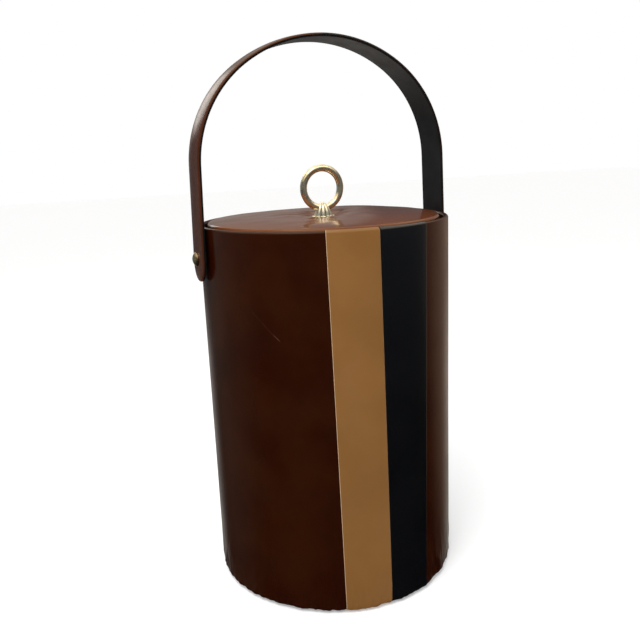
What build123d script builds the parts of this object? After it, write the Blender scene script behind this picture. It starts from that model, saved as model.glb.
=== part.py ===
from build123d import *

import os
from math import acos, cos, degrees, radians, sin, tan

# A tall, vinyl-covered ice bucket with a lift-off padded lid and a bail handle.
#
# Frame: the origin is the centre of the base, on the surface that the bucket stands on. +Z is up,
# the handle swings about an axis along X, and the two stripes face -Y. All sizes are millimetres.

# ---- Driving dimensions: body ----
body_diameter = 203.2
body_height = 299.2
vinyl = 0.8
stripe_sheet = 0.6
shell_wall = 2.4
foot_corner = 3.4
cover_turn_in = 15.0
cover_hem_radius = 72.0
stripe_start_deg = -19.9
tan_stripe_deg = 21.7
black_stripe_deg = 23.0

# ---- Driving dimensions: base ----
pad_thickness = 1.5
pad_radius = 90.0
board_thickness = 6.0
board_chamfer = 1.0
staple_count = 12
staple_crown = 10.0
staple_leg = 4.0
staple_wire = 0.6

# ---- Driving dimensions: liner and insulation ----
lid_well_depth = 10.0
liner_wall = 2.0
liner_flange_radius = 96.6
liner_mouth_radius = 87.0
liner_floor_radius = 84.0
liner_floor_round = 8.0
insulation_base_thickness = 11.7
insulation_gap = 0.2

# ---- Driving dimensions: lid ----
lid_radius = 94.5
lid_shoulder_rise = 1.3
lid_dome_rise = 3.0
lid_dimple_depth = 3.6
lid_dimple_radius = 24.0
lid_roll = 2.6
lid_under_round = 2.0
lid_panel_thickness = 4.0
lid_cover_hem_radius = 78.0
lid_liner_flange_radius = 93.5
lid_liner_wall = 1.5
lid_plug_radius = 84.0
lid_plug_draft = 1.0
lid_plug_depth = 22.0

# ---- Driving dimensions: knob ----
knob_base_radius = 9.8
knob_base_height = 1.6
clasp_height = 10.7
clasp_foot_radius = 6.9
clasp_belly_radius = 7.3
clasp_top_radius = 4.8
flute_count = 10
flute_radius = 1.0
ring_outer_diameter = 37.8
ring_stock = 5.7
ring_drop_into_clasp = 7.5
knob_screw_radius = 1.6
knob_screw_grip = 4.6
knob_washer_radius = 8.0
knob_washer_thickness = 1.0
knob_screw_head_radius = 3.2
knob_screw_head_height = 2.4

# ---- Driving dimensions: handle ----
pivot_drop = 24.4
arch_half_span = 103.6
arch_top_above_rim = 140.3
shoulder_radius = 93.0
crown_half_angle_deg = 35.0
leg_lean_deg = 1.45
handle_width = 31.8
handle_thickness = 3.4
handle_cover_sheet = 0.9
handle_lining_sheet = 0.8
handle_core_sheet = 0.8
handle_core_width = 25.0
tongue_drop = 17.8

# ---- Driving dimensions: pivots ----
rivet_radius = 2.5
rivet_running_gap = 0.05
rivet_head_radius = 5.5
rivet_head_height = 3.0
rivet_head_lip = 0.6
rivet_clinch_radius = 4.2
rivet_clinch_height = 1.0
eyelet_wall = 0.9
eyelet_flange_radius = 4.8
eyelet_flange = 0.4
pivot_gap = 0.3
spacer_radius = 7.0
backing_washer_radius = 7.0
backing_washer_thickness = 0.8
rivet_pocket_radius = 8.5
rivet_pocket_depth = 4.4

# ---- Derived: body ----
body_radius = body_diameter / 2
shell_outer = body_radius - vinyl
shell_inner = shell_outer - shell_wall
shell_foot = pad_thickness + vinyl
corner_r = shell_outer - foot_corner
corner_z = shell_foot + foot_corner
rim_round = shell_wall / 2
rim_round_r = shell_inner + rim_round
rim_round_z = body_height - vinyl - rim_round
turn_in_z = body_height - cover_turn_in
board_top = shell_foot + board_thickness

# ---- Derived: liner and lid ----
liner_seat = board_top + insulation_base_thickness
lid_seat = body_height - lid_well_depth
liner_flange_under = lid_seat - liner_wall
sleeve_radius = shell_inner - insulation_gap
sleeve_neck_radius = liner_flange_radius + insulation_gap
lid_under = lid_seat + lid_liner_wall
lid_panel_under = lid_under + vinyl
lid_panel_top = lid_panel_under + lid_panel_thickness
lid_shoulder = body_height + lid_shoulder_rise
knob_seat = lid_shoulder + lid_dome_rise - lid_dimple_depth - 0.3

# ---- Derived: knob ----
clasp_foot = knob_seat + knob_base_height
clasp_top = clasp_foot + clasp_height
ring_radius = (ring_outer_diameter - ring_stock) / 2
ring_centre_z = clasp_top - ring_drop_into_clasp + ring_outer_diameter / 2

# ---- Derived: handle and pivots ----
pivot_z = body_height - pivot_drop
lean = radians(leg_lean_deg)
crown_half_angle = radians(crown_half_angle_deg)
shoulder_x = arch_half_span - shoulder_radius
crown_radius = shoulder_radius + shoulder_x / sin(crown_half_angle)
crown_z = body_height + arch_top_above_rim - crown_radius
shoulder_z = crown_z + (crown_radius - shoulder_radius) * cos(crown_half_angle)
leg_top_x = shoulder_x + shoulder_radius * cos(lean)
leg_top_z = shoulder_z + shoulder_radius * sin(lean)
half_thickness = handle_thickness / 2
core_inside = -half_thickness + handle_lining_sheet
core_outside = core_inside + handle_core_sheet
cover_inside = half_thickness - handle_cover_sheet
filler_width = handle_width - 2 * handle_cover_sheet
leg_x = leg_top_x + (leg_top_z - pivot_z) * tan(lean)
strap_inner_x = leg_x - half_thickness
strap_outer_x = leg_x + half_thickness
eyelet_radius = rivet_radius + rivet_running_gap + eyelet_wall
eyelet_outer_x = strap_outer_x + eyelet_flange
rivet_head_x = eyelet_outer_x + pivot_gap
spacer_outer_x = strap_inner_x - pivot_gap - 0.2
backing_x = (shell_inner**2 - backing_washer_radius**2) ** 0.5


# ---- Helpers ----
def profile_face(edges):
    """A closed outline of (radius, height) edges, stood up in the XZ plane."""
    return Plane.XZ * make_face(edges)


def turned(edges, sweep=360.0):
    """A solid turned about Z from an outline of (radius, height) edges."""
    return revolve(profile_face(edges), Axis.Z, sweep)


def turned_polygon(*points):
    """A solid turned about Z from a polygon of (radius, height) points."""
    return turned(Polyline(*points, close=True).edges())


def disc(radius, low, high):
    """A plain disc about Z between two heights."""
    return Pos(0, 0, low) * Cylinder(radius, high - low, align=(Align.CENTER, Align.CENTER, Align.MIN))


def pivot_disc(radius, low, high):
    """A plain disc about the right-hand pivot's axis between two X positions."""
    bar = Cylinder(radius, high - low, align=(Align.CENTER, Align.CENTER, Align.MIN))
    return Pos(low, 0, pivot_z) * Rot(0, 90, 0) * bar


def both_sides(right_shape):
    """The right-hand shape and its mirror image on the left."""
    return right_shape + mirror(right_shape, about=Plane.YZ)


def corner_arc(centre, radius, start_deg, end_deg):
    """An arc about a centre, counted in degrees from the +radius direction."""
    stops = [radians(start_deg), radians((start_deg + end_deg) / 2), radians(end_deg)]
    return ThreePointArc(*[(centre[0] + radius * cos(a), centre[1] + radius * sin(a)) for a in stops])


# ---- Body covering ----
def wrap_line(offset, low_inside, hem_radius):
    """The path of a sheet over the shell: down from the lid well, over the rim, down and under."""
    inner = shell_inner - offset
    outer = shell_outer + offset
    under = shell_foot - offset
    return [
        Line((inner, low_inside), (inner, rim_round_z)),
        corner_arc((rim_round_r, rim_round_z), rim_round + offset, 180, 0),
        Line((outer, rim_round_z), (outer, corner_z)),
        corner_arc((corner_r, corner_z), foot_corner + offset, 0, -90),
        Line((corner_r, under), (hem_radius, under)),
    ]


def wrapped_sheet(inner_offset, thickness, hem_radius, sweep=360.0):
    """A sheet of one thickness that follows the shell, turned about Z."""
    near = wrap_line(inner_offset, turn_in_z, hem_radius)
    far = wrap_line(inner_offset + thickness, turn_in_z, hem_radius)
    ends = [Line(near[0] @ 0, far[0] @ 0), Line(near[-1] @ 1, far[-1] @ 1)]
    return turned(near + far + ends, sweep)


def make_outer_shell():
    foot_angle = acos((shell_inner - corner_r) / foot_corner)
    inner_foot_z = corner_z - foot_corner * sin(foot_angle)
    wall = turned([
        Line((shell_inner, inner_foot_z), (shell_inner, rim_round_z)),
        corner_arc((rim_round_r, rim_round_z), rim_round, 180, 0),
        Line((shell_outer, rim_round_z), (shell_outer, corner_z)),
        corner_arc((corner_r, corner_z), foot_corner, 0, -degrees(foot_angle)),
    ])
    return wall - both_sides(pivot_disc(rivet_radius, backing_x - 5, body_radius + 5))


def make_body_cover(staples):
    sheet = wrapped_sheet(0, vinyl, cover_hem_radius)
    sheet -= both_sides(pivot_disc(rivet_radius, backing_x - 5, body_radius + 5))
    return sheet - staples


def make_stripe(start_deg, width_deg):
    """One decorative stripe, laid over the body covering from the lid well to under the base."""
    strip = wrapped_sheet(vinyl, stripe_sheet, pad_radius + 0.5, width_deg)
    return Rot(0, 0, start_deg - 90) * strip


# ---- Base ----
def make_staples():
    """The staples that hold the gathered hem of the covering to the base board."""
    crown = Box(staple_crown, staple_wire, staple_wire, align=(Align.CENTER, Align.CENTER, Align.MIN))
    leg = Box(staple_wire, staple_wire, staple_leg, align=(Align.CENTER, Align.CENTER, Align.MIN))
    reach = (staple_crown - staple_wire) / 2
    staple = crown + Pos(-reach, 0, 0) * leg + Pos(reach, 0, 0) * leg
    circle_radius = (cover_hem_radius + pad_radius) / 2
    placed = [spot * Rot(0, 0, 90) * staple for spot in PolarLocations(circle_radius, staple_count)]
    return [Pos(0, 0, pad_thickness) * one for one in placed]


def make_base_board(staples):
    board = turned_polygon(
        (0, shell_foot),
        (corner_r, shell_foot),
        (shell_inner, shell_foot + board_chamfer),
        (shell_inner, board_top),
        (0, board_top),
    )
    return board - staples


# ---- Liner and insulation ----
def liner_outside_radius(height):
    """The outside radius of the liner's drafted wall at a height."""
    share = (height - liner_seat) / (liner_flange_under - liner_seat)
    return liner_floor_radius + liner_wall + share * (liner_mouth_radius - liner_floor_radius)


def make_liner():
    bowl = turned_polygon(
        (0, liner_seat),
        (liner_floor_radius + liner_wall, liner_seat),
        (liner_mouth_radius + liner_wall, liner_flange_under),
        (liner_flange_radius, liner_flange_under),
        (liner_flange_radius, lid_seat),
        (0, lid_seat),
    )
    space = turned_polygon(
        (0, liner_seat + liner_wall),
        (liner_floor_radius, liner_seat + liner_wall),
        (liner_mouth_radius, lid_seat),
        (0, lid_seat),
    )
    floor_edge = space.edges().filter_by(GeomType.CIRCLE).sort_by(Axis.Z)[0]
    return bowl - fillet(floor_edge, liner_floor_round)


def make_insulation_sleeve():
    neck_z = turn_in_z - 1.0
    sleeve = turned_polygon(
        (liner_outside_radius(liner_seat) + insulation_gap, liner_seat),
        (sleeve_radius, liner_seat),
        (sleeve_radius, neck_z),
        (sleeve_neck_radius - 2 * insulation_gap, neck_z),
        (sleeve_neck_radius - 2 * insulation_gap, liner_flange_under),
        (liner_outside_radius(liner_flange_under) + insulation_gap, liner_flange_under),
    )
    return sleeve - both_sides(pivot_disc(rivet_pocket_radius, shell_inner - rivet_pocket_depth, body_radius))


# ---- Lid ----
def dome_z(radius, inset):
    """Height of the lid's padded top at a radius, outside the dimple."""
    share = radius / (lid_radius - lid_roll)
    return lid_shoulder + lid_dome_rise * (1 - share**3) - inset


def lid_form(inset):
    """The whole padded lid as one solid, brought in by an inset all round."""
    edge = lid_radius - inset
    low = lid_under + inset
    roll_r = lid_radius - lid_roll
    roll_z = lid_shoulder - lid_roll
    round_r = lid_radius - lid_under_round
    round_z = lid_under + lid_under_round
    mid_r = (roll_r + lid_dimple_radius) / 2
    dimple_top = (lid_dimple_radius, dome_z(lid_dimple_radius, inset))
    dimple_mid = ((lid_dimple_radius + knob_base_radius) / 2, knob_seat - inset + 0.5)
    dimple_low = (knob_base_radius, knob_seat - inset)
    return turned([
        Line((0, low), (round_r, low)),
        corner_arc((round_r, round_z), lid_under_round - inset, -90, 0),
        Line((edge, round_z), (edge, roll_z)),
        corner_arc((roll_r, roll_z), lid_roll - inset, 0, 90),
        ThreePointArc((roll_r, dome_z(roll_r, inset)), (mid_r, dome_z(mid_r, inset)), dimple_top),
        ThreePointArc(dimple_top, dimple_mid, dimple_low),
        Line(dimple_low, (0, knob_seat - inset)),
        Line((0, knob_seat - inset), (0, low)),
    ])


def screw_hole():
    return disc(knob_screw_radius, lid_seat, clasp_top)


def make_lid_cover():
    underside = disc(lid_cover_hem_radius, lid_under, lid_panel_under)
    return lid_form(0) - lid_form(vinyl) - underside - screw_hole()


def make_lid_panel():
    return (lid_form(vinyl) & disc(lid_radius, lid_panel_under, lid_panel_top)) - screw_hole()


def make_lid_padding():
    return (lid_form(vinyl) & disc(lid_radius, lid_panel_top, clasp_top)) - screw_hole()


def lid_plug(inset, low):
    """The tapered plug under the lid, brought in by an inset, from a height up to the lid's underside."""
    return turned_polygon(
        (0, low),
        (lid_plug_radius - lid_plug_draft - inset, low),
        (lid_plug_radius - inset, lid_under),
        (0, lid_under),
    )


def make_lid_liner():
    dish = disc(lid_liner_flange_radius, lid_seat, lid_under) + lid_plug(0, lid_seat - lid_plug_depth)
    return dish - lid_plug(lid_liner_wall, lid_seat - lid_plug_depth + lid_liner_wall)


def make_lid_insulation():
    block = lid_plug(lid_liner_wall, lid_seat - lid_plug_depth + lid_liner_wall)
    return block - disc(knob_washer_radius + 1.0, lid_panel_under - 6.0, lid_under)


# ---- Knob ----
def make_knob_base():
    half = knob_base_height / 2
    dish = turned([
        Line((0, knob_seat), (knob_base_radius - half, knob_seat)),
        corner_arc((knob_base_radius - half, knob_seat + half), half, -90, 90),
        Line((knob_base_radius - half, clasp_foot), (0, clasp_foot)),
        Line((0, clasp_foot), (0, knob_seat)),
    ])
    return dish - screw_hole()


def screw_tip():
    """The end of the screw, which passes through the clasp and into the ring to hold it upright."""
    return disc(knob_screw_radius, clasp_foot, clasp_foot + knob_screw_grip)


def make_knob_ring():
    return Pos(0, 0, ring_centre_z) * Rot(90, 0, 0) * Torus(ring_radius, ring_stock / 2) - screw_tip()


def make_knob_clasp(ring):
    """A fluted barrel that grips the bottom of the ring."""
    belly_z = clasp_foot + 0.35 * clasp_height
    barrel = turned([
        Line((0, clasp_foot), (clasp_foot_radius, clasp_foot)),
        ThreePointArc((clasp_foot_radius, clasp_foot), (clasp_belly_radius, belly_z), (clasp_top_radius, clasp_top)),
        Line((clasp_top_radius, clasp_top), (0, clasp_top)),
        Line((0, clasp_top), (0, clasp_foot)),
    ])
    flute = Cylinder(flute_radius, 3 * clasp_height)
    flutes = [Pos(0, 0, clasp_foot) * spot * flute for spot in PolarLocations(clasp_belly_radius + 0.2, flute_count)]
    return barrel - flutes - screw_tip() - ring


def make_knob_screw():
    head_top = lid_panel_under - knob_washer_thickness
    head = disc(knob_screw_head_radius, head_top - knob_screw_head_height, head_top)
    return head + disc(knob_screw_radius, head_top, clasp_foot + knob_screw_grip)


def make_knob_washer():
    low = lid_panel_under - knob_washer_thickness
    return disc(knob_washer_radius, low, lid_panel_under) - screw_hole()


# ---- Handle ----
def arch_line(offset):
    """The handle's path from one tongue over the arch to the other, at an offset from its centre.

    Two straight legs lean in a little, two shoulder arcs turn them, and a wider arc is the crown."""
    leg = leg_top_z - pivot_z + tongue_drop + handle_width
    top_x = leg_top_x + offset * cos(lean)
    top_z = leg_top_z + offset * sin(lean)
    foot_x = top_x + leg * sin(lean)
    foot_z = top_z - leg * cos(lean)
    join = 90 - crown_half_angle_deg
    shoulder = shoulder_radius + offset
    return [
        Line((foot_x, foot_z), (top_x, top_z)),
        corner_arc((shoulder_x, shoulder_z), shoulder, leg_lean_deg, join),
        corner_arc((0, crown_z), crown_radius + offset, join, 180 - join),
        corner_arc((-shoulder_x, shoulder_z), shoulder, 180 - join, 180 - leg_lean_deg),
        Line((-top_x, top_z), (-foot_x, foot_z)),
    ]


def handle_band(inside, outside, width):
    """One layer of the strap between two offsets, with rounded tongues at both ends."""
    near = arch_line(inside)
    far = arch_line(outside)
    ends = [Line(near[0] @ 0, far[0] @ 0), Line(near[-1] @ 1, far[-1] @ 1)]
    band = extrude(profile_face(near + far + ends), amount=width / 2, both=True)
    tongue_z = pivot_z - tongue_drop + handle_width / 2
    reach = 2 * arch_half_span
    end_round = Pos(0, tongue_z) * Circle(width / 2)
    end_round += Pos(0, tongue_z) * Rectangle(width, reach, align=(Align.CENTER, Align.MIN))
    return band & extrude(Plane.YZ * end_round, amount=reach, both=True)


def make_eyelet():
    """The right-hand eyelet, which turns with the handle on the rivet's shank."""
    tube = pivot_disc(eyelet_radius, strap_inner_x, eyelet_outer_x)
    tube += pivot_disc(eyelet_flange_radius, strap_inner_x, strap_inner_x + eyelet_flange)
    tube += pivot_disc(eyelet_flange_radius, strap_outer_x - 0.2, eyelet_outer_x)
    bore = pivot_disc(rivet_radius + rivet_running_gap, strap_inner_x, eyelet_outer_x)
    return tube - bore


def eyelet_space():
    """What the right-hand eyelet takes out of the strap."""
    space = pivot_disc(eyelet_radius, strap_inner_x - 1, eyelet_outer_x)
    space += pivot_disc(eyelet_flange_radius, strap_inner_x - 1, strap_inner_x + eyelet_flange)
    return space + pivot_disc(eyelet_flange_radius, strap_outer_x - 0.2, eyelet_outer_x)


def make_handle():
    """The strap's four layers, each with its eyelet holes."""
    holes = both_sides(eyelet_space())
    whole = handle_band(core_inside, half_thickness, handle_width)
    filled = handle_band(core_inside, cover_inside, filler_width)
    core = handle_band(core_inside, core_outside, handle_core_width)
    lining = handle_band(-half_thickness, core_inside, filler_width)
    return {
        "handle_cover": whole - filled - holes,
        "handle_padding": filled - core - holes,
        "handle_core": core - holes,
        "handle_lining": lining - holes,
    }


# ---- Pivots ----
def make_rivet():
    """The right-hand rivet, clinched over its backing washer inside the shell."""
    clinch_x = backing_x - backing_washer_thickness
    tail_x = clinch_x - rivet_clinch_height
    lip_x = rivet_head_x + rivet_head_lip
    tip_x = rivet_head_x + rivet_head_height
    cap_height = tip_x - lip_x
    ball_radius = (rivet_head_radius**2 + cap_height**2) / (2 * cap_height)
    ball_x = tip_x - ball_radius
    cap_start_deg = degrees(acos(rivet_head_radius / ball_radius))
    stem = Polyline(
        (0, tip_x),
        (0, tail_x),
        (rivet_clinch_radius, tail_x),
        (rivet_clinch_radius, clinch_x),
        (rivet_radius, clinch_x),
        (rivet_radius, rivet_head_x),
        (rivet_head_radius, rivet_head_x),
        (rivet_head_radius, lip_x),
    )
    cap = corner_arc((0, ball_x), ball_radius, cap_start_deg, 90)
    return Pos(0, 0, pivot_z) * Rot(0, 90, 0) * turned(stem.edges() + [cap])


def make_backing_washer():
    ring = pivot_disc(backing_washer_radius, backing_x - backing_washer_thickness, backing_x)
    return ring - pivot_disc(rivet_radius, backing_x - 5, backing_x)


def make_spacer_washer():
    """The spacer between body and strap, curved on its inner face to sit on the body."""
    ring = pivot_disc(spacer_radius, body_radius - 5, spacer_outer_x)
    return ring - pivot_disc(rivet_radius, body_radius - 5, spacer_outer_x) - disc(body_radius, 0, body_height)


# ---- Assembly ----
def make_pieces():
    staples = make_staples()
    ring = make_knob_ring()
    pieces = {
        "outer_shell": make_outer_shell(),
        "body_cover": make_body_cover(staples),
        "tan_stripe": make_stripe(stripe_start_deg, tan_stripe_deg),
        "black_stripe": make_stripe(stripe_start_deg + tan_stripe_deg, black_stripe_deg),
        "base_board": make_base_board(staples),
        "hem_staples": Compound(staples),
        "base_pad": disc(pad_radius, 0, pad_thickness),
        "insulation_base": disc(sleeve_radius, board_top, liner_seat),
        "insulation_sleeve": make_insulation_sleeve(),
        "liner": make_liner(),
        "lid_cover": make_lid_cover(),
        "lid_padding": make_lid_padding(),
        "lid_panel": make_lid_panel(),
        "lid_liner": make_lid_liner(),
        "lid_insulation": make_lid_insulation(),
        "knob_base": make_knob_base(),
        "knob_clasp": make_knob_clasp(ring),
        "knob_ring": ring,
        "knob_screw": make_knob_screw(),
        "knob_washer": make_knob_washer(),
    }
    pieces.update(make_handle())
    paired = {
        "eyelet": make_eyelet(),
        "rivet": make_rivet(),
        "spacer_washer": make_spacer_washer(),
        "backing_washer": make_backing_washer(),
    }
    for name, right_shape in paired.items():
        pieces["right_" + name] = right_shape
        pieces["left_" + name] = mirror(right_shape, about=Plane.YZ)
    return pieces


os.makedirs("parts", exist_ok=True)
for node, shape in make_pieces().items():
    export_step(shape, "parts/" + node + ".step")
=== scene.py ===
import math

import bmesh
import bpy
import numpy as np
from mathutils import Matrix, Vector, noise


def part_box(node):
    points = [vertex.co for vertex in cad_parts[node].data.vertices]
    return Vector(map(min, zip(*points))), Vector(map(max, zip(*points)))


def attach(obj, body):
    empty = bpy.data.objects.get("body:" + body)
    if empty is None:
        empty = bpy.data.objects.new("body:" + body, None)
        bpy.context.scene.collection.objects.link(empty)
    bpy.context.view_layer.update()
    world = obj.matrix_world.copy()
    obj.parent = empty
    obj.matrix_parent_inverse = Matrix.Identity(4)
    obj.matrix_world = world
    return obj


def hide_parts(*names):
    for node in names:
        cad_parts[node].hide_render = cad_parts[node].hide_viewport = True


# A vinyl-covered ice bucket. Lengths are metres in the frame of the CAD model: the bucket stands on
# z = 0, the handle's pivots lie along X, and the two stripes face -Y.

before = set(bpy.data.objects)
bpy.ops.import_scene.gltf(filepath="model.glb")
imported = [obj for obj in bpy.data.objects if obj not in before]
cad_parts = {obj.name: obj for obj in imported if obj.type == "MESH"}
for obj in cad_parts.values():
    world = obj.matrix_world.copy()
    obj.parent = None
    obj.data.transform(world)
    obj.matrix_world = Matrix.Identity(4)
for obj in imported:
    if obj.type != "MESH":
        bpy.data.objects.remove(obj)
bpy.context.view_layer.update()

MM = 0.001


# ---- Sizes read from the frame ----
def low(node, axis):
    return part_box(node)[0][axis]


def high(node, axis):
    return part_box(node)[1][axis]


BODY_R = high("body_cover", 0)
SHELL_OUT = high("outer_shell", 0)
SHELL_IN = high("base_board", 0)
SHELL_FOOT = low("outer_shell", 2)
RIM_ROUND = (SHELL_OUT - SHELL_IN) / 2
RIM_ROUND_Z = high("outer_shell", 2) - RIM_ROUND
RIM_TOP = high("body_cover", 2)
VINYL = BODY_R - SHELL_OUT
STRIPE_SHEET = high("tan_stripe", 2) - RIM_TOP
PAD_R = high("base_pad", 0)

LID_R = high("lid_cover", 0)
LID_LOW = low("lid_cover", 2)
LID_TOP = high("lid_cover", 2)
KNOB_SEAT = low("knob_base", 2)
KNOB_BASE_R = high("knob_base", 0)

STRAP_TOP = high("handle_cover", 2)
STRAP_END_Z = low("handle_cover", 2)
STRAP_HALF_WIDTH = high("handle_cover", 1)

# ---- Sizes that the frame's boxes don't give, the same as the CAD model's ----
TURN_IN_Z = RIM_TOP - 15 * MM
FOOT_CORNER = 3.4 * MM
HEM_R = 72 * MM
LID_ROLL = 2.6 * MM
LID_UNDER_ROUND = 2 * MM
LID_DOME_RISE = 3.0 * MM
LID_HEM_R = 78 * MM
SCREW_R = 1.6 * MM
STRAP_THICK = 3.4 * MM
LINING_THICK = 0.8 * MM

# Between faces that lie on each other.
CONTACT_GAP = 0.02 * MM

# The strap's centre line: two legs that lean in, two shoulder arcs and a wider crown arc.
LEG_LEAN = math.radians(1.45)
SHOULDER_R = 93.0 * MM
SHOULDER_X = 10.6 * MM
CROWN_HALF_ANGLE = math.radians(35)
CROWN_R = SHOULDER_R + SHOULDER_X / math.sin(CROWN_HALF_ANGLE)
CROWN_Z = STRAP_TOP - STRAP_THICK / 2 - CROWN_R
SHOULDER_Z = CROWN_Z + (CROWN_R - SHOULDER_R) * math.cos(CROWN_HALF_ANGLE)
LEG_TOP_X = SHOULDER_X + SHOULDER_R * math.cos(LEG_LEAN)
LEG_TOP_Z = SHOULDER_Z + SHOULDER_R * math.sin(LEG_LEAN)
LEG_LENGTH = (LEG_TOP_Z - STRAP_END_Z) / math.cos(LEG_LEAN)
SHOULDER_LENGTH = SHOULDER_R * (math.pi / 2 - CROWN_HALF_ANGLE - LEG_LEAN)
STRAP_LENGTH = 2 * (LEG_LENGTH + SHOULDER_LENGTH + CROWN_R * CROWN_HALF_ANGLE)

# A hairline scratch that runs down and to the right on the body's left front. Its run is the level
# direction that it follows, as an angle from +X.
SCRATCH_SLOPE = math.radians(-44)
SCRATCH_RUN = math.radians(-45)
SCRATCH_ALONG = (
    math.cos(SCRATCH_SLOPE) * math.cos(SCRATCH_RUN),
    math.cos(SCRATCH_SLOPE) * math.sin(SCRATCH_RUN),
    math.sin(SCRATCH_SLOPE),
)
SCRATCH_ACROSS = (
    -math.sin(SCRATCH_SLOPE) * math.cos(SCRATCH_RUN),
    -math.sin(SCRATCH_SLOPE) * math.sin(SCRATCH_RUN),
    math.cos(SCRATCH_SLOPE),
)
SCRATCH_LENGTH = 34 * MM
# Its middle: how far along the run, and how high.
SCRATCH_X, SCRATCH_Z = -6 * MM, 232 * MM
SCRATCH_OFFSET = SCRATCH_Z * math.cos(SCRATCH_SLOPE) - SCRATCH_X * math.sin(SCRATCH_SLOPE)
SCRATCH_MIDDLE = SCRATCH_X * math.cos(SCRATCH_SLOPE) + SCRATCH_Z * math.sin(SCRATCH_SLOPE)
SCRATCH_START = SCRATCH_MIDDLE - SCRATCH_LENGTH / 2
SCRATCH_END = SCRATCH_START + SCRATCH_LENGTH


# ---- Node materials ----
def add_node(tree, kind, inputs=None, **settings):
    """A shader node, each of whose inputs is a constant or another node's socket."""
    made = tree.nodes.new(kind)
    for key, value in settings.items():
        setattr(made, key, value)
    for key, value in (inputs or {}).items():
        if isinstance(value, bpy.types.NodeSocket):
            tree.links.new(value, made.inputs[key])
        else:
            made.inputs[key].default_value = value
    return made


class Finish:
    """A procedural material, built node by node around one Principled shader."""

    def __init__(self, name, **constants):
        self.material = bpy.data.materials.new(name)
        self.material.use_nodes = True
        self.tree = self.material.node_tree
        self.shader = self.tree.nodes["Principled BSDF"]
        for socket, value in constants.items():
            self.shader.inputs[socket.replace("_", " ")].default_value = value
        self.place = self.node("ShaderNodeTexCoord").outputs["Object"]

    def node(self, kind, inputs=None, **settings):
        return add_node(self.tree, kind, inputs, **settings)

    def math(self, operation, *values):
        return self.node("ShaderNodeMath", dict(enumerate(values)), operation=operation).outputs[0]

    def product(self, *values):
        total = values[0]
        for value in values[1:]:
            total = self.math("MULTIPLY", total, value)
        return total

    def dot(self, vector, direction):
        """The part of a vector that lies along a direction."""
        made = self.node("ShaderNodeVectorMath", {0: vector, 1: direction}, operation="DOT_PRODUCT")
        return made.outputs["Value"]

    def stretched(self, scale):
        """The object's coordinates, scaled by a different amount along each axis."""
        return self.node("ShaderNodeMapping", {"Vector": self.place, "Scale": scale}).outputs[0]

    def noise(self, size, detail=3.0, roughness=0.55, stretch=(1, 1, 1)):
        """Soft noise whose features are about this size in metres."""
        inputs = {
            "Vector": self.stretched(stretch),
            "Scale": 1 / size,
            "Detail": detail,
            "Roughness": roughness,
        }
        return self.node("ShaderNodeTexNoise", inputs).outputs["Fac"]

    def cells(self, size, feature="F1"):
        """Distance pattern of cells about this size in metres."""
        inputs = {"Vector": self.place, "Scale": 1 / size}
        return self.node("ShaderNodeTexVoronoi", inputs, feature=feature).outputs["Distance"]

    def spread(self, value, start, end, low_value=0.0, high_value=1.0):
        """Maps a range of a value to another range, with the ends held."""
        inputs = {0: value, 1: start, 2: end, 3: low_value, 4: high_value}
        return self.node("ShaderNodeMapRange", inputs, clamp=True, interpolation_type="SMOOTHSTEP").outputs[0]

    def mix(self, share, *pair):
        """A blend of two colours, each a constant or a socket."""
        first, second = (one if isinstance(one, bpy.types.NodeSocket) else (*one, 1) for one in pair)
        return self.node("ShaderNodeMix", {0: share, 6: first, 7: second}, data_type="RGBA").outputs[2]

    def colour(self, socket):
        self.tree.links.new(socket, self.shader.inputs["Base Color"])

    def roughness(self, socket):
        self.tree.links.new(socket, self.shader.inputs["Roughness"])

    def bumps(self, *layers):
        """Stacks (height, strength, distance) layers of bump."""
        normal = None
        for height, strength, distance in layers:
            inputs = {"Height": height, "Strength": strength, "Distance": distance}
            if normal is not None:
                inputs["Normal"] = normal
            normal = self.node("ShaderNodeBump", inputs).outputs["Normal"]
        self.tree.links.new(normal, self.shader.inputs["Normal"])


# The colour of the brown sheets' reflections: their clear coat is slightly yellowed.
BROWN_SHEEN = (1.0, 0.86, 0.62)


def vinyl(name, dark, light, shine, polish=(0.20, 0.27), tint=(1, 1, 1)):
    """Smooth glossy vinyl: slow colour drift, uneven polish, and a faint orange-peel grain."""
    made = Finish(name, Specular_IOR_Level=shine, Specular_Tint=(*tint, 1))
    drift = made.noise(45 * MM, 4, 0.5)
    made.colour(made.mix(made.spread(drift, 0.3, 0.7), dark, light))
    made.roughness(made.spread(made.noise(30 * MM, 3, 0.5), 0.3, 0.75, *polish))
    made.bumps(
        (made.noise(40 * MM, 1, 0.4), 0.06, 0.8 * MM),
        (made.noise(1.3 * MM, 2, 0.5), 0.02, 0.012 * MM),
    )
    return made


def body_vinyl():
    """The body's brown vinyl, with one hairline scratch to the left of the stripes."""
    made = vinyl("body_vinyl", (0.0160, 0.0019, 0.0001), (0.0225, 0.0040, 0.0004), 0.22, tint=BROWN_SHEEN)
    across = made.dot(made.place, SCRATCH_ACROSS)
    along = made.dot(made.place, SCRATCH_ALONG)
    wander = made.math("MULTIPLY", made.noise(14 * MM, 2, 0.5), 1.2 * MM)
    offset = made.math("ABSOLUTE", made.math("SUBTRACT", made.math("ADD", across, wander), SCRATCH_OFFSET))
    line = made.spread(offset, 0.10 * MM, 0.34 * MM, 1.0, 0.0)
    starts = made.spread(along, SCRATCH_START, SCRATCH_START + 6 * MM)
    ends = made.spread(along, SCRATCH_END - 2 * MM, SCRATCH_END, 1.0, 0.0)
    deepens = made.spread(along, SCRATCH_END - 9 * MM, SCRATCH_END - 5 * MM, 0.14, 0.7)
    front = made.spread(made.dot(made.place, (0, -1, 0)), 0.0, 10 * MM)
    mark = made.product(line, starts, ends, deepens, front)
    base = made.shader.inputs["Base Color"].links[0].from_socket
    made.colour(made.mix(mark, base, (0.10, 0.045, 0.028)))
    return made.material


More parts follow.
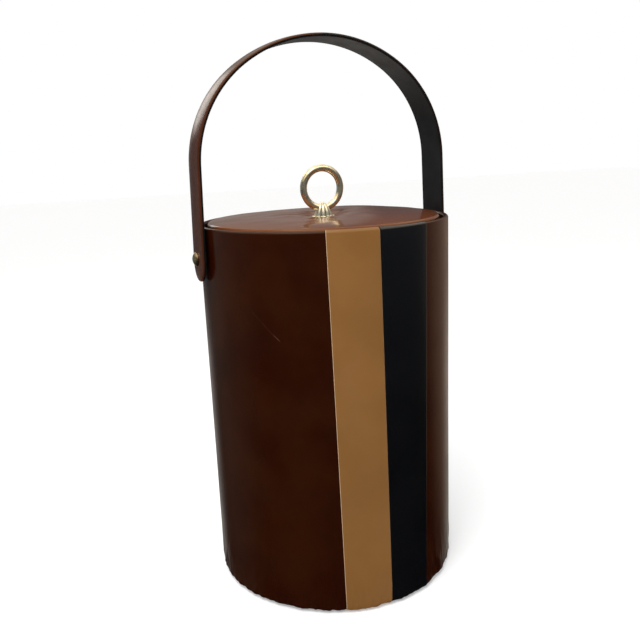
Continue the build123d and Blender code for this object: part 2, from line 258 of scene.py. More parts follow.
def lid_vinyl():
    """The lid's brown vinyl, glossier than the body's, its brown painted far lighter than the body's as
    painted light on the top.
    """
    # Painted light: these browns are the body's brown made several times lighter for the light falling on the
    # lid's top.
    dark, light = (0.112, 0.028, 0.008), (0.142, 0.040, 0.012)
    return vinyl("lid_vinyl", dark, light, 0.3, (0.13, 0.18), BROWN_SHEEN).material


def tan_vinyl():
    """The tan stripe's vinyl."""
    return vinyl("tan_vinyl", (0.178, 0.079, 0.019), (0.203, 0.091, 0.023), 0.35).material


def black_vinyl():
    """The black stripe's vinyl, very slightly blue."""
    return vinyl("black_vinyl", (0.0016, 0.0018, 0.0024), (0.0024, 0.0026, 0.0034), 0.6).material


def cut_edge(name, colour):
    """The cut edge of a vinyl strip, a little fibrous."""
    made = Finish(name, Specular_IOR_Level=0.3)
    fibre = made.noise(0.9 * MM, 3, 0.6)
    made.colour(made.mix(made.spread(fibre, 0.3, 0.7), tuple(0.75 * c for c in colour), colour))
    made.roughness(made.spread(fibre, 0.3, 0.7, 0.5, 0.7))
    made.bumps((fibre, 0.3, 0.1 * MM))
    return made.material


def leatherette():
    """Brown grained leatherette of the strap: small pebbled cells under a worn gloss."""
    made = Finish("strap_leatherette", Specular_IOR_Level=0.25, Specular_Tint=(*BROWN_SHEEN, 1))
    cells = made.cells(1.1 * MM, "SMOOTH_F1")
    fine = made.noise(0.5 * MM, 3, 0.6)
    drift = made.noise(25 * MM, 4, 0.5)
    base = made.mix(made.spread(drift, 0.3, 0.7), (0.042, 0.0100, 0.0036), (0.060, 0.0160, 0.0066))
    made.colour(made.mix(made.spread(cells, 0.0, 0.7, 0.0, 0.35), base, (0.022, 0.006, 0.003)))
    made.roughness(made.spread(made.noise(6 * MM, 4, 0.6), 0.3, 0.75, 0.17, 0.27))
    made.bumps((cells, 0.4, 0.12 * MM), (fine, 0.3, 0.06 * MM))
    return made.material


def edge_paint_and_shade():
    """The black dressing on the strap's cut sides, brushed along them; on the strap's right half it also
    covers the rounded edges of the face as painted shade.
    """
    made = Finish("strap_edge_paint", Specular_IOR_Level=0.35)
    strokes = made.noise(1.5 * MM, 4, 0.6, (1, 3, 1))
    made.colour(made.mix(made.spread(strokes, 0.3, 0.7), (0.0025, 0.0022, 0.0020), (0.0060, 0.0045, 0.0038)))
    made.roughness(made.spread(strokes, 0.3, 0.75, 0.4, 0.6))
    made.bumps((strokes, 0.25, 0.1 * MM))
    return made.material


def lining():
    """Black vinyl lining inside the strap."""
    made = Finish("strap_lining", Specular_IOR_Level=0.22)
    drift = made.noise(14 * MM, 4, 0.6)
    made.colour(made.mix(made.spread(drift, 0.3, 0.7), (0.006, 0.006, 0.0065), (0.011, 0.011, 0.012)))
    made.roughness(made.spread(drift, 0.3, 0.75, 0.32, 0.44))
    made.bumps((made.cells(0.9 * MM, "SMOOTH_F1"), 0.25, 0.08 * MM))
    return made.material


def metal(name, clean, tarnish, gloss, wear, spots=8 * MM, metallic=1.0, flutes=0):
    """A plated metal with patches of tarnish, uneven gloss and fine handling marks.

    With a number of flutes round the Z axis, the grooves between them take the tarnish colour in full as
    painted shade."""
    made = Finish(name, Metallic=metallic)
    patches = made.noise(spots, 6, 0.65)
    tarnish_and_groove_shade = made.spread(patches, 0.45, 0.75, 0.0, wear)
    # Painted shade: the grooves between the flutes are coloured with the dark tarnish colour in full.
    if flutes:
        place = made.node("ShaderNodeSeparateXYZ", {"Vector": made.place}).outputs
        turn = made.math("ARCTAN2", place["Y"], place["X"])
        phase = made.math("MULTIPLY_ADD", turn, flutes / 2, flutes * math.pi / 4)
        lobe = made.math("ABSOLUTE", made.math("SINE", phase))
        tarnish_and_groove_shade = made.math("MAXIMUM", tarnish_and_groove_shade, made.spread(lobe, 0.05, 0.45, 1.0, 0.0))
    made.colour(made.mix(tarnish_and_groove_shade, clean, tarnish))
    made.roughness(made.spread(made.noise(2.5 * MM, 4, 0.6), 0.3, 0.8, gloss, gloss + 0.12))
    marks = made.noise(2.0 * MM, 2, 0.5, (1, 1, 0.25))
    made.bumps((made.noise(7 * MM, 2, 0.4), 0.25, 0.5 * MM), (marks, 0.05, 0.03 * MM))
    return made.material


def board(name, dark, light):
    """Pressed fibre or wood board with short fibres."""
    made = Finish(name, Specular_IOR_Level=0.2)
    fibre = made.noise(1.5 * MM, 5, 0.65, (1, 1, 0.3))
    made.colour(made.mix(made.spread(fibre, 0.25, 0.75), dark, light))
    made.roughness(made.spread(fibre, 0.2, 0.8, 0.7, 0.9))
    made.bumps((fibre, 0.4, 0.15 * MM))
    return made.material


def plastic(name, dark, light, low_rough, high_rough):
    """Moulded plastic: nearly even colour, a slight texture and faint scuffs."""
    made = Finish(name, Specular_IOR_Level=0.5)
    drift = made.noise(30 * MM, 4, 0.6)
    scuffs = made.noise(2.2 * MM, 5, 0.7, (1, 1, 0.15))
    made.colour(made.mix(made.spread(drift, 0.3, 0.7), dark, light))
    made.roughness(made.spread(scuffs, 0.35, 0.8, low_rough, high_rough))
    made.bumps((made.noise(1.0 * MM, 2, 0.5), 0.08, 0.04 * MM))
    return made.material


def foam():
    """Expanded foam: fused beads."""
    made = Finish("foam", Specular_IOR_Level=0.2)
    beads = made.cells(4 * MM)
    made.colour(made.mix(made.spread(beads, 0.2, 0.7), (0.78, 0.78, 0.75), (0.6, 0.6, 0.57)))
    made.roughness(made.spread(beads, 0.2, 0.7, 0.7, 0.9))
    made.bumps((beads, 0.4, 0.5 * MM))
    return made.material


def felt():
    """Black pressed felt of the base pad."""
    made = Finish("base_felt", Specular_IOR_Level=0.1, Sheen_Weight=0.3)
    fibre = made.noise(0.7 * MM, 5, 0.75)
    made.colour(made.mix(made.spread(fibre, 0.3, 0.7), (0.006, 0.006, 0.006), (0.022, 0.021, 0.02)))
    made.roughness(made.spread(fibre, 0.3, 0.7, 0.85, 1.0))
    made.bumps((fibre, 0.6, 0.25 * MM))
    return made.material


# ---- Mesh helpers ----
def new_piece(name, verts, faces, materials, body, replaced, face_materials=None):
    """A smooth-shaded mesh that rides on a body and stands for CAD nodes."""
    mesh = bpy.data.meshes.new(name)
    mesh.from_pydata([tuple(v) for v in verts], [], faces)
    for material in materials:
        mesh.materials.append(material)
    if face_materials is not None:
        mesh.polygons.foreach_set("material_index", face_materials)
    mesh.polygons.foreach_set("use_smooth", [True] * len(mesh.polygons))
    mesh.update()
    piece = bpy.data.objects.new(name, mesh)
    bpy.context.scene.collection.objects.link(piece)
    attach(piece, body)
    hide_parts(*replaced)
    return piece


def arc_points(centre, radius, start_deg, end_deg, steps):
    """(radius, height, normal radius, normal height) along an arc."""
    made = []
    for share in np.linspace(0, 1, steps + 1):
        a = math.radians(start_deg + share * (end_deg - start_deg))
        nr, nz = math.cos(a), math.sin(a)
        made.append((centre[0] + radius * nr, centre[1] + radius * nz, nr, nz))
    return made


def line_points(start, end, normal, steps, ease=1.0):
    """The same along a straight run, without its two ends; ease above 1 crowds points towards the end."""
    shares = 1 - (1 - np.linspace(0, 1, steps + 1)[1:-1]) ** ease
    return [(start[0] + t * (end[0] - start[0]), start[1] + t * (end[1] - start[1]), *normal) for t in shares]


def swept_sheet(first_path, second_path, angles, move):
    """Verts and quads of the sheet between two section paths, turned all the way round Z.

    move(angle, r, z) is how far a point is pushed along its normal."""
    section = first_path + second_path[::-1]
    count = len(section)
    verts = []
    for a in angles:
        for r, z, nr, nz in section:
            push = move(a, r, z)
            rr, zz = r + push * nr, z + push * nz
            verts.append((rr * math.sin(a), -rr * math.cos(a), zz))
    faces = []
    for i in range(len(angles)):
        j = (i + 1) % len(angles)
        for k in range(count):
            m = (k + 1) % count
            faces.append((i * count + k, i * count + m, j * count + m, j * count + k))
    return verts, faces


# ---- Body covering ----
# Angles are counted from the front (-Y) towards +X.
TAN_LEFT = (math.radians(-21.4), math.radians(-18.4))  # at the rim, at the foot
TAN_RIGHT = (math.radians(0.6), math.radians(2.9))
BLACK_RIGHT = (math.radians(26.0), math.radians(23.6))
STRIPE_GAP = math.radians(0.25)
PLEAT_HEIGHT = 21 * MM
PLEAT_DEPTH = 1.3 * MM
PLEAT_SINK = 0.4 * MM
WAVE_DEPTH = 0.10 * MM
COVER_BACK = 0.05 * MM
STRIPE_EDGE_ROUND = 0.30 * MM
STRIPE_HEM_R = PAD_R + 0.5 * MM
STRIPE_COLUMNS = 44


def wrap_path(offset, hem_r, fine=True):
    """The sheet's section: from the lid well over the rim, down the outside, and under the base.

    Each point is (radius, height, normal radius, normal height)."""
    inner, outer = SHELL_IN - offset, SHELL_OUT + offset
    corner_r, corner_z = SHELL_OUT - FOOT_CORNER, SHELL_FOOT + FOOT_CORNER
    under = SHELL_FOOT - offset
    wall_steps, arc_steps = (60, 12) if fine else (14, 6)
    return [
        (inner, TURN_IN_Z, -1, 0),
        *line_points((inner, TURN_IN_Z), (inner, RIM_ROUND_Z), (-1, 0), 4),
        *arc_points((SHELL_IN + RIM_ROUND, RIM_ROUND_Z), RIM_ROUND + offset, 180, 0, arc_steps),
        *line_points((outer, RIM_ROUND_Z), (outer, corner_z), (1, 0), wall_steps, 1.9),
        *arc_points((corner_r, corner_z), FOOT_CORNER + offset, 0, -90, arc_steps // 2),
        *line_points((corner_r, under), (hem_r, under), (0, -1), 8),
        (hem_r, under, 0, -1),
    ]


def pleats(angle, z):
    """How far the gathered hem stands in or out: narrow upright folds that fade up the wall."""
    fade = math.exp(-(z / PLEAT_HEIGHT) ** 1.5)
    if fade < 0.003:
        return 0.0
    around = Vector((math.sin(angle), math.cos(angle), 0))
    # Some stretches of the hem are gathered more than others, and the folds lean.
    patch = 0.45 + 0.9 * abs(noise.noise(around * 3.1 + Vector((0, 0, 7.3))))
    slant = 0.35 * noise.noise(around * 2.3)
    turn = angle + slant * z / BODY_R * 2.0
    spot = Vector((math.sin(turn), math.cos(turn), 0)) * 15.0 + Vector((0, 0, z / (22 * MM)))
    folds = noise.noise(spot) + 0.6 * noise.noise(spot * 2.1 + Vector((4.1, 0, 0)))
    return max(PLEAT_DEPTH * patch * folds * 1.6, -PLEAT_SINK) * fade


def wall_waves(angle, z):
    """The slight unevenness of a sheet glued round a board drum."""
    around = Vector((math.sin(angle), math.cos(angle), 0))
    return WAVE_DEPTH * noise.noise(around * 2.2 + Vector((0, 0, z / (90 * MM))))


def body_push(angle, r, z):
    """How far the covering stands out: evenly down the wall, and less and less towards the base pad."""
    if r < SHELL_IN + RIM_ROUND and z > SHELL_FOOT + FOOT_CORNER:
        return 0.0
    share = 1.0
    if z < SHELL_FOOT + FOOT_CORNER:
        share = max(0.0, min(1.0, (r - PAD_R) / (BODY_R - PAD_R)))
    push = pleats(angle, max(z, 0.0)) * share + wall_waves(angle, z)
    return push * min(1.0, share * 4)


def make_body_cover(material):
    """The brown sheet round the drum, turned into the lid well at the top and under the base."""
    angles = np.linspace(0, 2 * math.pi, 720, endpoint=False)
    outside, inside = wrap_path(VINYL, HEM_R), wrap_path(COVER_BACK, HEM_R, False)
    verts, faces = swept_sheet(outside, inside, angles, body_push)
    new_piece("body_vinyl", verts, faces, [material], "bucket", ["body_cover"])


def stripe_edge(pair, z):
    """A stripe edge's angle at a height, from its angles at the rim and at the foot."""
    share = max(0.0, min(1.0, z / RIM_TOP))
    return pair[1] + share * (pair[0] - pair[1])


def stripe_point(angle, row, height):
    """A point at a height over the stripe's back, which follows the body covering."""
    r, z, nr, nz = row
    push = body_push(angle, r, z) + height
    out = r + push * nr
    return out * math.sin(angle), -out * math.cos(angle), z + push * nz


def make_stripe(name, node, left, right, materials):
    """A strip over the body vinyl with softly rounded long edges; its cut sides take the second material."""
    rows = wrap_path(VINYL + CONTACT_GAP, STRIPE_HEM_R)
    # The first and last column of points are doubled, for the rounded edge and the cut side below it.
    shares = [0.0, *np.linspace(0, 1, STRIPE_COLUMNS + 1), 1.0]
    count, last = len(rows), len(shares) - 1
    tops, backs = [], []
    for index, share in enumerate(shares):
        height = STRIPE_SHEET * (0.45 if index in (0, last) else 1.0)
        for row in rows:
            start, end = stripe_edge(left, row[1]), stripe_edge(right, row[1])
            inset = STRIPE_EDGE_ROUND / ((end - start) * BODY_R) if index in (1, last - 1) else 0.0
            rounded = min(max(share, inset), 1 - inset)
            tops.append(stripe_point(start + rounded * (end - start), row, height))
            backs.append(stripe_point(start + share * (end - start), row, 0.0))
    faces, kinds = [], []

    def top(column, row):
        return column * count + row

    def back(column, row):
        return len(tops) + column * count + row

    def add(quad, kind):
        faces.append(quad)
        kinds.append(kind)

    for i in range(last):
        # The rounded edge faces take the cut-edge material too; on the tan stripe its pale colour is partly a
        # painted highlight.
        at_edge = int(i in (0, last - 1))
        for k in range(count - 1):
            add((top(i, k), top(i, k + 1), top(i + 1, k + 1), top(i + 1, k)), at_edge)
            add((back(i + 1, k), back(i + 1, k + 1), back(i, k + 1), back(i, k)), 0)
        end = count - 1
        add((back(i, 0), back(i + 1, 0), top(i + 1, 0), top(i, 0)), 0)
        add((top(i, end), top(i + 1, end), back(i + 1, end), back(i, end)), 0)
    for k in range(count - 1):
        add((top(0, k), back(0, k), back(0, k + 1), top(0, k + 1)), 1)
    for k in range(count - 1):
        add((top(last, k + 1), back(last, k + 1), back(last, k), top(last, k)), 1)
    new_piece(name, tops + backs, faces, materials, "bucket", [node], kinds)


# ---- Lid ----
# How far out from the knob's middle the padding is pulled down.
DIMPLE_REACH = 15.5 * MM
# Where the padding stands higher or lower than an even dome: centre, rise and spread.
LID_SWELLS = [
    ((52 * MM, 48 * MM), 0.9 * MM, 42 * MM),
    ((-14 * MM, -35 * MM), -1.2 * MM, 27 * MM),
]


def lid_height(r):
    """The padded top's height at a radius: a low dome, pulled down round the knob."""
    if r <= KNOB_BASE_R:
        return KNOB_SEAT - CONTACT_GAP
    dome = LID_TOP - LID_DOME_RISE * (r / (LID_R - LID_ROLL)) ** 3
    pull = math.exp(-((r / DIMPLE_REACH) ** 2))
    return dome - (LID_TOP - KNOB_SEAT) * pull / math.exp(-((KNOB_BASE_R / DIMPLE_REACH) ** 2))


def lid_path(inset, steps):
    """The lid skin's section: from its hem under the panel, round the edge and over to the screw."""
    roll_r = LID_R - LID_ROLL
    roll_z = lid_height(roll_r) - LID_ROLL
    under_r, under_z = LID_R - LID_UNDER_ROUND, LID_LOW + LID_UNDER_ROUND
    section = [
        (LID_HEM_R, LID_LOW + inset, 0, -1),
        *line_points((LID_HEM_R, LID_LOW + inset), (under_r, LID_LOW + inset), (0, -1), 4),
        *arc_points((under_r, under_z), LID_UNDER_ROUND - inset, -90, 0, 4),
        *arc_points((roll_r, roll_z), LID_ROLL - inset, 0, 86, 8),
    ]
    for t in np.linspace(0, 1, steps + 1)[1:]:
        r = (1 - t) ** 1.25 * (roll_r - SCREW_R) + SCREW_R
        slope = (lid_height(r + 0.1 * MM) - lid_height(r - 0.1 * MM)) / (0.2 * MM)
        length = math.hypot(1, slope)
        section.append((r, lid_height(r) - inset, -slope / length, 1 / length))
    return section


def lid_push(angle, r, z):
    """Folds that run out from the knob, slow swells of the padding and a slightly uneven edge."""
    if z < LID_LOW + LID_UNDER_ROUND:
        return 0.0
    around = Vector((math.sin(angle), math.cos(angle), 0))
    x, y = r * math.sin(angle), -r * math.cos(angle)
    spread = max(0.0, (r - KNOB_BASE_R) / (16 * MM))
    edge = min(1.0, max(0.0, (r - 0.8 * LID_R) / (0.2 * LID_R)))
    tuck = spread * math.exp(1 - spread) if r > KNOB_BASE_R else 0.0
    folds = noise.noise(around * 2.9 + Vector((r / (22 * MM), 1.7, 0)))
    swell = noise.noise(Vector((x, -y, 0)) / (34 * MM) + Vector((5.0, 2.0, 0)))
    wave = noise.noise(around * 6.0) * edge
    uneven = 0.0
    for (centre_x, centre_y), rise, reach in LID_SWELLS:
        far = (x - centre_x) ** 2 + (y - centre_y) ** 2
        uneven += rise * math.exp(-far / reach**2) * (1 - 0.6 * edge) * min(1.0, spread)
    return (0.8 * tuck * folds + 0.28 * swell * min(1.0, spread) * (1 - edge) + 0.16 * wave) * MM + uneven


def make_lid(material):
    """The lid's padded skin, closed over its panel."""
    angles = np.linspace(0, 2 * math.pi, 288, endpoint=False)
    outside, inside = lid_path(0, 70), lid_path(VINYL, 20)
    verts, faces = swept_sheet(inside, outside, angles, lid_push)
    piece = new_piece("lid_vinyl", verts, faces, [material], "lid", ["lid_cover", "lid_padding"])


# ---- Strap handle ----
COVER_PROUD = 0.4 * MM
COVER_CROWN = 1.1 * MM
COVER_EDGE_ROUND = 1.2 * MM
LINING_INSET = 0.35 * MM
LINING_EDGE_ROUND = 0.1 * MM
# How many rows of faces next to the cut sides, on the strap's right half only, take the black of the sides as
# painted shade.
SHADE_PAINT_ROWS = 3


def strap_point(s):
    """(x, z, normal x, normal z) on the strap's centre line at a length from the right-hand tongue's tip."""
    side = 1 if s <= STRAP_LENGTH / 2 else -1
    along = min(s, STRAP_LENGTH - s)
    if along < LEG_LENGTH:
        a = LEG_LEAN
        down = LEG_LENGTH - along
        x, z = LEG_TOP_X + down * math.sin(a), LEG_TOP_Z - down * math.cos(a)
    elif along < LEG_LENGTH + SHOULDER_LENGTH:
        a = LEG_LEAN + (along - LEG_LENGTH) / SHOULDER_R
        x, z = SHOULDER_X + SHOULDER_R * math.cos(a), SHOULDER_Z + SHOULDER_R * math.sin(a)
    else:
        a = math.pi / 2 - CROWN_HALF_ANGLE + (along - LEG_LENGTH - SHOULDER_LENGTH) / CROWN_R
        x, z = CROWN_R * math.cos(a), CROWN_Z + CROWN_R * math.sin(a)
    return side * x, z, side * math.cos(a), math.sin(a)


def strap_stations():
    """Lengths along the strap, crowded at the rounded tongues, with the half width at each."""
    tongue = STRAP_HALF_WIDTH
    rounds = [tongue * (1 - math.cos(a)) for a in np.linspace(0, math.pi / 2, 15)]
    middle = np.linspace(tongue, STRAP_LENGTH - tongue, 150)[1:-1]
    stations = [*rounds, *middle, *[STRAP_LENGTH - r for r in rounds[::-1]]]
    made = []
    for s in stations:
        reach = max(0.0, tongue - min(s, STRAP_LENGTH - s))
        made.append((s, math.sqrt(max(0.0, tongue**2 - reach**2))))
    return made


def edge_drop(distance, radius):
    """How far a rounded edge has fallen at a distance in from it."""
    inside = max(0.0, radius - distance)
    return radius - math.sqrt(max(0.0, radius**2 - inside**2))


def strap_layer(name, inside, outside, narrower, crown, edge_round, materials, replaced):
    """One layer of the strap as a closed solid, between two offsets from the centre line.

    The first material covers the faces and the last one the cut sides. On the right half the last material
    also covers the rounded edges of the face, as painted shade."""
    shares = np.sin(np.linspace(-math.pi / 2, math.pi / 2, 25))
    verts, rings = [], []
    for s, half in strap_stations():
        x, z, nx, nz = strap_point(min(max(s, narrower), STRAP_LENGTH - narrower))
        half = max(0.0, half - narrower)
        from_end = min(s, STRAP_LENGTH - s)
        ring = []
        for top in (True, False):
            for u in shares if top else shares[::-1]:
                y = u * half
                distance = half - abs(y)
                if from_end - narrower < STRAP_HALF_WIDTH:
                    from_centre = math.hypot(y, max(0.0, STRAP_HALF_WIDTH - from_end))
                    distance = STRAP_HALF_WIDTH - narrower - from_centre
                distance = max(0.0, distance)
                offset = inside
                if top:
                    swell = crown * (1 - (1 - distance / STRAP_HALF_WIDTH) ** 2)
                    offset = outside - crown + swell - edge_drop(distance, edge_round)
                ring.append(len(verts))
                verts.append((x + offset * nx, y, z + offset * nz))
        rings.append(ring)
    faces, kinds = [], []
    sides = (len(shares) - 1, 2 * len(shares) - 1)
    for first, second in zip(rings, rings[1:]):
        for k in range(len(first)):
            m = (k + 1) % len(first)
            faces.append((first[k], second[k], second[m], first[m]))
            # Painted shade: on the right half (x > 0) the rows by the rounded edges are coloured black like
            # the cut sides.
            by_edge = k < SHADE_PAINT_ROWS or sides[0] - SHADE_PAINT_ROWS <= k < sides[0]
            painted_shade = by_edge and verts[first[k]][0] > 0
            kinds.append(len(materials) - 1 if k in sides or painted_shade else 0)
    faces += [tuple(rings[0]), tuple(rings[-1][::-1])]
    kinds += [len(materials) - 1] * 2
    mend(new_piece(name, verts, faces, materials, "handle", replaced, kinds))


def mend(piece):
    """Joins points that meet and turns every face outwards."""
    work = bmesh.new()
    work.from_mesh(piece.data)
    bmesh.ops.remove_doubles(work, verts=work.verts, dist=0.00001)
    bmesh.ops.dissolve_degenerate(work, edges=work.edges, dist=0.000001)
    bmesh.ops.recalc_face_normals(work, faces=work.faces)
    work.to_mesh(piece.data)
    work.free()


# ---- Knob ----
# The depths and the lean are shares of the radius.
CLASP_LOBES = 10
CLASP_LOBE_DEPTH = 0.26
CLASP_LEAN = 0.20
BASE_BEADS = 14
BASE_BEAD_DEPTH = 0.20


def make_ring(material):
    """The ring: a round bar, very slightly uneven from casting and polishing."""
    lo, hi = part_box("knob_ring")
    bar = (hi[1] - lo[1]) / 2
    big = (hi[0] - lo[0]) / 2 - bar
    centre_z = (hi[2] + lo[2]) / 2
    around, across = 120, 36
    verts = []
    for i in range(around):
        a = 2 * math.pi * i / around
        for j in range(across):
            b = 2 * math.pi * j / across
            spot = Vector((math.cos(a), math.sin(a), 0)) * 3.0 + Vector((0, 0, math.sin(b)))
            r = bar * (0.992 + 0.012 * noise.noise(spot))
            out = big + r * math.cos(b)
            verts.append((out * math.sin(a), r * math.sin(b), centre_z + out * math.cos(a)))
    faces = []
    for i in range(around):
        for j in range(across):
            n, m = (i + 1) % around, (j + 1) % across
            faces.append((i * across + j, n * across + j, n * across + m, i * across + m))
    mend(new_piece("knob_ring_cast", verts, faces, [material], "lid", ["knob_ring"]))


def lobed_turning(name, profile, lobes, depth, node, material):
    """A turned metal piece whose side is gathered into rounded lobes; depth is a function of height share."""
    around = 240
    verts = [(0, 0, profile[0][1])]
    for index, (r, z) in enumerate(profile[1:-1]):
        share = index / (len(profile) - 3)
        for i in range(around):
            a = 2 * math.pi * i / around
            lobe = math.sqrt(abs(math.sin(lobes * a / 2)))
            radius = r * (1 - depth(share) * (1 - lobe))
            verts.append((radius * math.sin(a), -radius * math.cos(a), z))
    verts.append((0, 0, profile[-1][1]))
    starts = [1 + row * around for row in range(len(profile) - 2)]
    faces = []
    for i in range(around):
        j = (i + 1) % around
        faces.append((0, 1 + j, 1 + i))
        for below, above in zip(starts, starts[1:]):
            faces.append((below + i, below + j, above + j, above + i))
        faces.append((starts[-1] + i, starts[-1] + j, len(verts) - 1))
    mend(new_piece(name, verts, faces, [material], "lid", [node]))


def make_clasp(material):
    """The clasp: a bell of leaf-like lobes closing over the ring."""
    foot, top = low("knob_clasp", 2), high("knob_clasp", 2)
    belly = high("knob_clasp", 0)
    height = top - foot
    profile = [(0, foot)]
    for t in np.linspace(0, 1, 31):
        lean = 1 - CLASP_LEAN * t
        closing = math.sqrt(max(0.03, 1 - t ** 2.2))
        profile.append((belly * lean * closing, foot + t * height))
    profile.append((0, top + 0.1 * MM))

    def depth(t):
        return CLASP_LOBE_DEPTH * (1 - 0.35 * t)

    lobed_turning("knob_clasp_cast", profile, CLASP_LOBES, depth, "knob_clasp", material)


def make_knob_base(material):
    """The clasp's foot: a flat disc with a rounded rim of bead-like petals."""
    foot, top = low("knob_base", 2), high("knob_base", 2)
    bulge = (top - foot) / 2
    profile = [(0, foot)]
    for a in np.radians(np.linspace(-90, 90, 15)):
        profile.append((KNOB_BASE_R - bulge + bulge * math.cos(a), foot + bulge * (1 + math.sin(a))))
    profile.append((0.6 * KNOB_BASE_R, top - 0.2 * MM))
    profile.append((0, top + 0.1 * MM))
    lobed_turning("knob_base_cast", profile, BASE_BEADS, lambda t: BASE_BEAD_DEPTH, "knob_base", material)


# ---- Carried-over CAD pieces ----
def dress(node, material):
    """Gives a CAD node a new material."""
    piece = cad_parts[node]
    piece.data.materials.clear()
    piece.data.materials.append(material)


def dress_frame():
    """Materials for the nodes that are used as the CAD model made them."""
    worn_brass = metal("worn_brass", (0.50, 0.40, 0.24), (0.12, 0.08, 0.05), 0.24, 0.9, 3 * MM)
    steel = metal("fixing_steel", (0.55, 0.56, 0.58), (0.32, 0.30, 0.27), 0.25, 0.5)
    spring = metal("spring_steel", (0.20, 0.22, 0.26), (0.12, 0.08, 0.05), 0.3, 0.6)
    liner = plastic("liner_plastic", (0.010, 0.010, 0.011), (0.016, 0.016, 0.017), 0.22, 0.36)
    washer = plastic("washer_plastic", (0.012, 0.010, 0.009), (0.02, 0.018, 0.016), 0.4, 0.55)
    hardboard = board("hardboard", (0.10, 0.055, 0.028), (0.19, 0.11, 0.06))
    fibreboard = board("fibreboard", (0.22, 0.15, 0.09), (0.34, 0.25, 0.16))
    beads, pad = foam(), felt()
    finishes = {
        "outer_shell": fibreboard, "base_board": hardboard, "lid_panel": hardboard, "base_pad": pad,
        "hem_staples": steel, "insulation_base": beads, "insulation_sleeve": beads, "lid_insulation": beads,
        "liner": liner, "lid_liner": liner, "knob_screw": steel, "knob_washer": steel, "handle_core": spring,
    }
    for side in ("left_", "right_"):
        finishes[side + "eyelet"] = worn_brass
        finishes[side + "rivet"] = worn_brass
        finishes[side + "spacer_washer"] = washer
        finishes[side + "backing_washer"] = steel
    for node, material in finishes.items():
        dress(node, material)


# ---- Stage, light and camera ----
def make_floor():
    """A plain pale floor that nothing shiny reflects."""
    bpy.ops.mesh.primitive_plane_add(size=12)
    floor = bpy.context.object
    floor.name = "floor"
    made = Finish("floor_paint", Specular_IOR_Level=0.1, Roughness=0.9,
                  Emission_Color=(1, 1, 1, 1), Emission_Strength=0.28)
    made.colour(made.mix(made.noise(0.6, 2, 0.5), (0.92, 0.92, 0.92), (0.94, 0.94, 0.94)))
    floor.data.materials.append(made.material)
    floor.visible_glossy = False


def area_light(name, azimuth, elevation, distance, side, power, glossy=True):
    """A soft square light aimed at the bucket's middle; azimuth 0 is in front."""
    data = bpy.data.lights.new(name, "AREA")
    data.shape, data.size, data.size_y = "RECTANGLE", side, side
    data.energy = power
    light = bpy.data.objects.new(name, data)
    a, e = math.radians(azimuth), math.radians(elevation)
    back = Vector((math.sin(a) * math.cos(e), -math.cos(a) * math.cos(e), math.sin(e)))
    light.location = Vector((0, 0, 0.2)) + back * distance
    light.rotation_mode = "QUATERNION"
    light.rotation_quaternion = back.to_track_quat("Z", "Y")
    light.visible_glossy = glossy
    bpy.context.scene.collection.objects.link(light)


# What glossy surfaces reflect. Each glow is a direction, the cosines from it where the glow starts and
# is full, the heights where it starts and is full, its colour and its strength. Heights run from -1
# straight down to 1 straight up.
ANY_HEIGHT = (-1.1, -1.0)
ROOM_DARK = 0.012
ROOM_GLOWS = [
    ((0.163, 0.975, 0.15), 0.951, 0.974, ANY_HEIGHT, (1.0, 0.84, 0.72), 0.23),  # the lit wall behind
    ((-0.12, 0.948, 0.295), 0.980, 0.994, ANY_HEIGHT, (1.0, 0.95, 0.88), 2.0),  # a window in that wall
    ((0, 0, 1), 0.28, 0.75, ANY_HEIGHT, (1.0, 0.84, 0.66), 1.6),                # the ceiling
    ((0, 0, 1), -0.42, 0.0, ANY_HEIGHT, (0.95, 1.0, 1.1), 0.09),                # the room in front
    ((0.35, 0.87, -0.35), 0.70, 0.93, (-0.12, -0.28), (1.0, 0.92, 0.84), 0.42),  # the table top behind
    ((0.94, 0.34, 0.0), 0.80, 0.96, (-1.15, -0.25), (1.0, 0.64, 0.42), 0.38),   # furniture on the right
    ((-0.85, 0.52, 0.0), 0.72, 0.94, ANY_HEIGHT, (0.9, 1.0, 0.85), 0.13),       # a dim wall on the left
]
SOFT_LIGHT = 0.74


def make_world():
    """Even soft light, a plain white ground, and a room to reflect: bright behind and above, dim in front."""
    world = bpy.data.worlds.new("room")
    bpy.context.scene.world = world
    world.use_nodes = True
    world.node_tree.nodes.clear()
    white = (1, 1, 1, 1)

    def node(kind, inputs=None, **settings):
        return add_node(world.node_tree, kind, inputs, **settings)

    def ramp(value, start, end):
        made = node("ShaderNodeMapRange", {0: value, 1: start, 2: end}, interpolation_type="SMOOTHSTEP")
        return made.outputs[0]

    def product(first, second):
        return node("ShaderNodeMath", {0: first, 1: second}, operation="MULTIPLY").outputs[0]

    def glow(direction, start, end, heights, colour, strength):
        """Light that rises towards a direction and over a range of heights."""
        along = node("ShaderNodeVectorMath", {0: place, 1: direction}, operation="DOT_PRODUCT")
        share = product(ramp(along.outputs["Value"], start, end), ramp(height, *heights))
        inputs = {"Color": (*colour, 1), "Strength": product(share, strength)}
        return node("ShaderNodeBackground", inputs).outputs[0]

    place = node("ShaderNodeTexCoord").outputs["Generated"]
    height = node("ShaderNodeSeparateXYZ", {0: place}).outputs["Z"]
    room = node("ShaderNodeBackground", {"Strength": ROOM_DARK}).outputs[0]
    for one in ROOM_GLOWS:
        room = node("ShaderNodeAddShader", {0: room, 1: glow(*one)}).outputs[0]
    soft = node("ShaderNodeBackground", {"Color": white, "Strength": SOFT_LIGHT}).outputs[0]
    ground = node("ShaderNodeBackground", {"Color": white, "Strength": 1.0}).outputs[0]
    path = node("ShaderNodeLightPath").outputs
    lit = node("ShaderNodeMixShader", {0: path["Is Glossy Ray"], 1: soft, 2: room}).outputs[0]
    seen = node("ShaderNodeMixShader", {0: path["Is Camera Ray"], 1: lit, 2: ground}).outputs[0]
    node("ShaderNodeOutputWorld", {"Surface": seen})


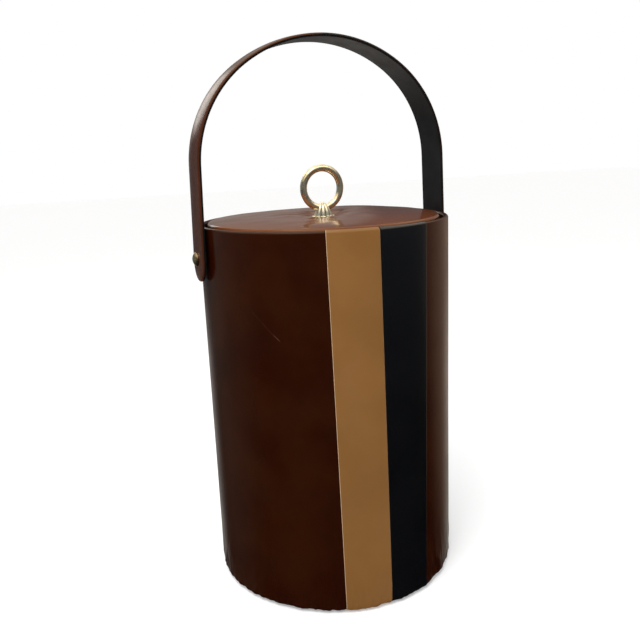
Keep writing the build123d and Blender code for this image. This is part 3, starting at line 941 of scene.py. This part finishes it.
# ---- Camera ----
CAMERA_AZIMUTH = -22.1
CAMERA_DISTANCE = 607.4 * MM
CAMERA_ABOVE_RIM = 56.4 * MM
CAMERA_YAW = -0.57
CAMERA_PITCH = 13.23
CAMERA_ROLL = -2.40
CAMERA_LENS = 41.27


def make_camera():
    """The camera: in front, a little above the rim, tilted down and rolled. Its angles are in degrees."""
    data = bpy.data.cameras.new("camera")
    data.lens, data.sensor_width = CAMERA_LENS, 36
    camera = bpy.data.objects.new("camera", data)
    bpy.context.scene.collection.objects.link(camera)
    azimuth = math.radians(CAMERA_AZIMUTH)
    place = Vector((math.sin(azimuth), -math.cos(azimuth), 0)) * CAMERA_DISTANCE
    place.z = RIM_TOP + CAMERA_ABOVE_RIM
    turn = (
        Matrix.Rotation(azimuth, 4, "Z")
        @ Matrix.Rotation(-math.radians(CAMERA_YAW), 4, "Z")
        @ Matrix.Rotation(math.pi / 2 - math.radians(CAMERA_PITCH), 4, "X")
        @ Matrix.Rotation(math.radians(CAMERA_ROLL), 4, "Z")
    )
    camera.matrix_world = Matrix.Translation(place) @ turn
    bpy.context.scene.camera = camera


# ---- The whole object ----
def make_stripes():
    """The tan and the black stripe, side by side with a hairline gap."""
    # The tan cut sides and rounded edges are far paler than the tan face: partly the cut edge's own colour,
    # partly a painted highlight line.
    tan = [tan_vinyl(), cut_edge("tan_cut_edge_and_highlight", (0.62, 0.42, 0.26))]
    black = [black_vinyl(), cut_edge("black_cut_edge", (0.004, 0.004, 0.004))]
    black_left = (TAN_RIGHT[0] + STRIPE_GAP, TAN_RIGHT[1] + STRIPE_GAP)
    make_stripe("tan_band", "tan_stripe", TAN_LEFT, TAN_RIGHT, tan)
    make_stripe("black_band", "black_stripe", black_left, BLACK_RIGHT, black)


def make_strap():
    """The strap's two layers: the crowned leatherette cover outside and the black lining inside."""
    back, front = -STRAP_THICK / 2, STRAP_THICK / 2 + COVER_PROUD
    between = back + LINING_THICK
    strap_layer(
        "strap_cover", between, front, 0, COVER_CROWN, COVER_EDGE_ROUND, [leatherette(), edge_paint_and_shade()],
        ["handle_cover", "handle_padding"],
    )
    strap_layer(
        "strap_lining", back, between, LINING_INSET, 0, LINING_EDGE_ROUND, [lining()],
        ["handle_lining"],
    )


def make_knob():
    """The brass knob: its ring, and the clasp and base in a paler brass, with painted shade in the clasp's
    grooves.
    """
    ring_clean, ring_dull = (0.97, 0.88, 0.62), (0.30, 0.23, 0.11)
    leaf_clean, leaf_tarnish_and_groove_shade = (0.88, 0.83, 0.64), (0.08, 0.07, 0.04)
    fluted = metal("fluted_brass", leaf_clean, leaf_tarnish_and_groove_shade, 0.10, 0.20, metallic=0.75, flutes=CLASP_LOBES)
    make_ring(metal("polished_brass", ring_clean, ring_dull, 0.08, 0.8, 5 * MM, metallic=0.95))
    make_clasp(fluted)
    make_knob_base(fluted)


make_body_cover(body_vinyl())
make_stripes()
make_lid(lid_vinyl())
make_strap()
make_knob()
dress_frame()
make_floor()
make_world()
make_camera()
area_light("key", azimuth=-42, elevation=50, distance=0.9, side=0.5, power=4.5, glossy=False)
area_light("overhead", azimuth=-60, elevation=70, distance=1.2, side=0.7, power=3)
bpy.context.scene.view_settings.view_transform = "Standard"
